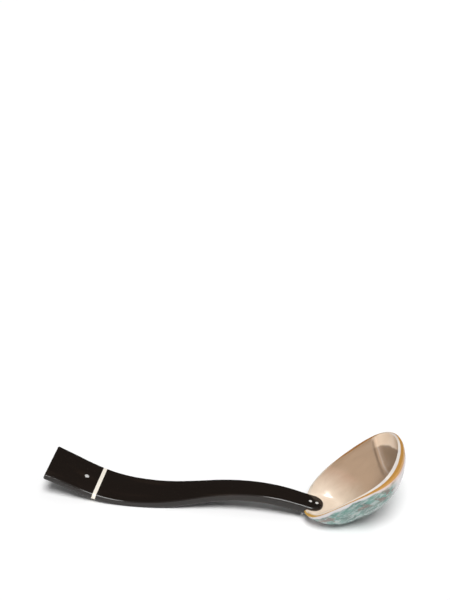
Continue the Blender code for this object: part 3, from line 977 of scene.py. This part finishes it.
    def form(self, name, **changes):
        """The shell as a plain mesh, with some of the rule's inputs changed."""
        obj = bpy.data.objects.new(name, bpy.data.meshes.new(name))
        bpy.context.scene.collection.objects.link(obj)
        modifier = obj.modifiers.new("rule", "NODES")
        modifier.node_group = self.tree
        values = dict(self.values)
        for key, value in changes.items():
            values[size_name(key)] = value
        for key, value in values.items():
            modifier[self.ids[key]] = value[:] if isinstance(value, Vector) else value
        settle(obj)
        return obj


# ---------------- pieces

class PieceMaker:
    """What every operator that makes pieces starts from."""

    def execute(self, context):
        scene = context.scene
        self.make(Handle(scene.spoon_handle), scene.spoon_bowl, scene.spoon_colours)
        return {"FINISHED"}


def bowl_pin_places(sizes):
    """Distance along the handle of each pin in the bowl."""
    front = sizes.handle_length - sizes.bowl_pin_from_tip
    return {"rear": front - sizes.bowl_pin_spacing, "front": front}


def butt_pin_place(sizes):
    """Distance along the handle of the pin in the butt cap."""
    return sizes.band_from_butt - sizes.butt_pin_from_band


def drill(piece, handle, places, diameter, above, below):
    """Cut a hole for a pin of this diameter at each place."""
    radius = diameter / 2 + handle.sizes.close_fit
    for place in places:
        combine(piece, handle.pin("hole", place, radius, above, below))


class SPOON_OT_bowl(PieceMaker, bpy.types.Operator):
    """Make the shell bowl, with its lip softened and its pin holes drilled"""

    bl_idname = "spoon.bowl"
    bl_label = "Shell bowl"

    def make(self, handle, bowl_sizes, colours):
        s = handle.sizes
        bowl = Shell(handle, bowl_sizes, shell_finish(colours)).form("bowl_shell")
        soften = bowl.modifiers.new("soften", "BEVEL")
        soften.limit_method = "ANGLE"
        soften.angle_limit = SOFTEN_ANGLE
        soften.width = bowl_sizes.edge_soften
        soften.segments = 3
        settle(bowl)
        drill(bowl, handle, bowl_pin_places(s).values(), s.bowl_pin_diameter,
              bowl_sizes.depth, bowl_sizes.depth)
        keep_in_box(bowl)
        hand_in(bowl, "shell_bowl")


class SPOON_OT_horn(PieceMaker, bpy.types.Operator):
    """Make the horn's two pieces: the butt cap and the blade with its tenon and tongue"""

    bl_idname = "spoon.horn"
    bl_label = "Horn handle"

    def make(self, handle, bowl_sizes, colours):
        s = handle.sizes
        finish = horn_finish(colours)
        fit = s.close_fit
        reach = s.band_from_butt - s.tenon_reach
        band_end = s.band_from_butt + s.band_width
        blade_start = band_end + fit
        hole = s.butt_thickness * 2
        butt_pin = (handle, [butt_pin_place(s)], s.butt_pin_diameter, hole, 2 * hole)
        cap = object_of("horn_butt_cap", handle.body(0.0, s.band_from_butt - fit, butt=True),
                        finish)
        combine(cap, handle.tenon(fit, reach - fit, band_end))
        drill(cap, *butt_pin)
        blade = object_of("horn_blade", handle.body(blade_start, s.handle_length, tip=True),
                          finish)
        combine(blade, handle.tenon(0.0, reach, blade_start + s.tenon_reach / 2), "UNION")
        drill(blade, *butt_pin)
        combine(blade, handle.shoulder())
        shell = Shell(handle, bowl_sizes, finish)
        combine(blade, shell.form("scribe", growth=fit, around=SCRIBE_STEPS, ripple=0.0))
        drill(blade, handle, bowl_pin_places(s).values(), s.bowl_pin_diameter, hole, 2 * hole)
        keep_in_box(blade)
        hand_in(cap, "butt_cap")
        hand_in(blade, "handle_blade")


class SPOON_OT_band(PieceMaker, bpy.types.Operator):
    """Make the bone band, with the slot that the tenon runs through"""

    bl_idname = "spoon.band"
    bl_label = "Bone band"

    def make(self, handle, bowl_sizes, colours):
        s = handle.sizes
        start = s.band_from_butt
        end = start + s.band_width
        band = object_of("bone_ring", handle.body(start, end), bone_finish(colours))
        combine(band, handle.tenon(s.close_fit, start - s.band_width, end + s.band_width))
        hand_in(band, "bone_band")


class SPOON_OT_pins(PieceMaker, bpy.types.Operator):
    """Make the three pins, filed flush with the horn and with the shell's outside"""

    bl_idname = "spoon.pins"
    bl_label = "Pins"

    def make(self, handle, bowl_sizes, colours):
        s = handle.sizes
        finish = pin_finish(colours)
        place = butt_pin_place(s)
        pin = handle.pin("rivet_butt", place, s.butt_pin_diameter / 2, 0.0,
                         handle.thickness(place))
        pin.data.materials.append(finish)
        hand_in(pin, "butt_pin")
        shell = Shell(handle, bowl_sizes, finish).form("pin_guide", around=GUIDE_STEPS)
        tree = BVHTree.FromObject(shell, bpy.context.evaluated_depsgraph_get())
        for name, place in bowl_pin_places(s).items():
            pin = handle.pin("rivet_bowl_" + name, place, s.bowl_pin_diameter / 2, 0.0,
                             bowl_sizes.depth)
            pin.data.materials.append(finish)
            file_flush(pin, tree, *handle.at(place))
            hand_in(pin, "bowl_pin_" + name)
        bpy.data.objects.remove(shell, do_unlink=True)


def file_flush(pin, tree, top, _, out):
    """Bring the pin's lower end up to the shell's outside."""
    for vertex in pin.data.vertices:
        if (top - vertex.co).dot(out) > MM:
            vertex.co = tree.ray_cast(vertex.co - out * FILING_REACH * MM, out)[0]


# ---------------- stage

class StageSettings(bpy.types.PropertyGroup):
    """Camera, lights and floor."""

    azimuth: turn(11.236, "From square on, to the right")
    elevation: turn(30.0, "Above the floor")
    distance: length(1350.0, "From the camera to what it looks at")
    target: triple((-0.0283, 0.1463, 0.0787), "What the camera looks at", "LENGTH")
    lens: share(108.0, "Focal length in millimetres")
    floor_colour: colour((0.95, 0.95, 0.95), "Pale floor")
    key_power: share(3.2, "Strength of the key light")
    key_spread: turn(24.0, "How wide the key light looks from the spoon")
    key_from: triple((0.16, -0.52, 0.84), "Direction of the key light")
    back_power: share(0.9, "Watts of the small softbox behind")
    back_place: triple((0.40, 0.95, 1.42), "Where the softbox behind hangs", "LENGTH")
    back_aim: triple((0.065, -0.01, 0.02), "What the softbox behind faces", "LENGTH")
    back_width: length(620.0, "Width of the softbox behind")
    back_height: length(360.0, "Height of the softbox behind")
    tent: share(0.30, "Brightness of the white tent in front")
    surround: share(0.03, "Brightness of the studio behind")


def place_facing(name, data, place, towards):
    """A lamp or a camera at a place, facing along a direction."""
    obj = bpy.data.objects.new(name, data)
    obj.location = place
    obj.rotation_euler = Vector(towards).to_track_quat("-Z", "Y").to_euler()
    bpy.context.scene.collection.objects.link(obj)
    return obj


def hang_lights(s):
    """A broad key light and a small softbox behind."""
    key = bpy.data.lights.new("key", "SUN")
    key.energy = s.key_power
    key.angle = s.key_spread
    place_facing("key", key, (0.0, 0.0, 0.0), -Vector(s.key_from))
    back = bpy.data.lights.new("back_softbox", "AREA")
    back.shape = "RECTANGLE"
    back.size = s.back_width
    back.size_y = s.back_height
    back.energy = s.back_power
    place_facing("back_softbox", back, s.back_place, Vector(s.back_aim) - Vector(s.back_place))


def studio_world(settings):
    """A white tent in front and overhead, open and dark behind, and pale to look at."""
    world = bpy.data.worlds.new("studio")
    world.use_nodes = True
    tree = world.node_tree
    direction = add_node(tree, "ShaderNodeTexCoord", None, (), "Generated")
    towards_front = direction.part(2) * 0.55 - direction.part(1) * 0.85
    tent = towards_front.step(-0.12, 0.25) * (settings.tent - settings.surround)
    seen = add_node(tree, "ShaderNodeLightPath", None, (), "Is Camera Ray")
    strength = (tent + settings.surround) * (1.0 - seen) + seen
    plug(tree, tree.nodes["Background"].inputs["Color"], (1.0, 1.0, 1.0))
    plug(tree, tree.nodes["Background"].inputs["Strength"], strength)
    return world


class SPOON_OT_stage(bpy.types.Operator):
    """Lay the floor, hang the lights and place the camera"""

    bl_idname = "spoon.stage"
    bl_label = "Stage"

    def execute(self, context):
        scene = context.scene
        s = scene.spoon_stage
        floor_half = 4.0
        bm = bmesh.new()
        bmesh.ops.create_grid(bm, x_segments=4, y_segments=4, size=floor_half)
        finish = Finish("pale_floor", Roughness=0.9, Specular_IOR_Level=0.1)
        paper = finish.noise(3.0, 2.0)
        dimmer = tuple(channel * 0.985 for channel in s.floor_colour)
        finish.finish(finish.mix(paper, tuple(s.floor_colour), dimmer))
        floor = object_of("floor", bm, finish.material)
        hang_lights(s)
        scene.world = studio_world(s)
        scene.view_settings.view_transform = "Standard"
        camera = bpy.data.cameras.new("camera")
        camera.lens = s.lens
        camera.clip_end = 20.0
        level = math.cos(s.elevation)
        back = Vector((math.sin(s.azimuth) * level, -math.cos(s.azimuth) * level,
                       math.sin(s.elevation)))
        scene.camera = place_facing("camera", camera, Vector(s.target) + back * s.distance,
                                    -back)
        return {"FINISHED"}


# ---------------- add-on

class SPOON_PT_panel(bpy.types.Panel):
    """The spoon's pieces and settings"""

    bl_idname = "SPOON_PT_panel"
    bl_label = "Serving spoon"
    bl_space_type = "VIEW_3D"
    bl_region_type = "UI"
    bl_category = "Spoon"

    def draw(self, context):
        for operator in OPERATORS:
            self.layout.operator(operator.bl_idname)
        for name in SETTINGS:
            settings = getattr(context.scene, name)
            box = self.layout.box()
            for key in settings.__annotations__:
                box.prop(settings, key)


OPERATORS = (SPOON_OT_bowl, SPOON_OT_horn, SPOON_OT_band, SPOON_OT_pins, SPOON_OT_stage)
SETTINGS = {"spoon_handle": HandleSizes, "spoon_bowl": BowlSizes,
            "spoon_colours": SpoonColours, "spoon_stage": StageSettings}
CLASSES = (*SETTINGS.values(), *OPERATORS, SPOON_PT_panel)


def register():
    """Register the classes and hang the settings on the scene."""
    for item in CLASSES:
        bpy.utils.register_class(item)
    for name, group in SETTINGS.items():
        setattr(bpy.types.Scene, name, PointerProperty(type=group))


def unregister():
    """Undo register."""
    for name in SETTINGS:
        delattr(bpy.types.Scene, name)
    for item in reversed(CLASSES):
        bpy.utils.unregister_class(item)


def main():
    """Make every piece in order."""
    register()
    for step in ("bowl", "horn", "band", "pins", "stage"):
        getattr(bpy.ops.spoon, step)()


if __name__ == "__main__":
    main()
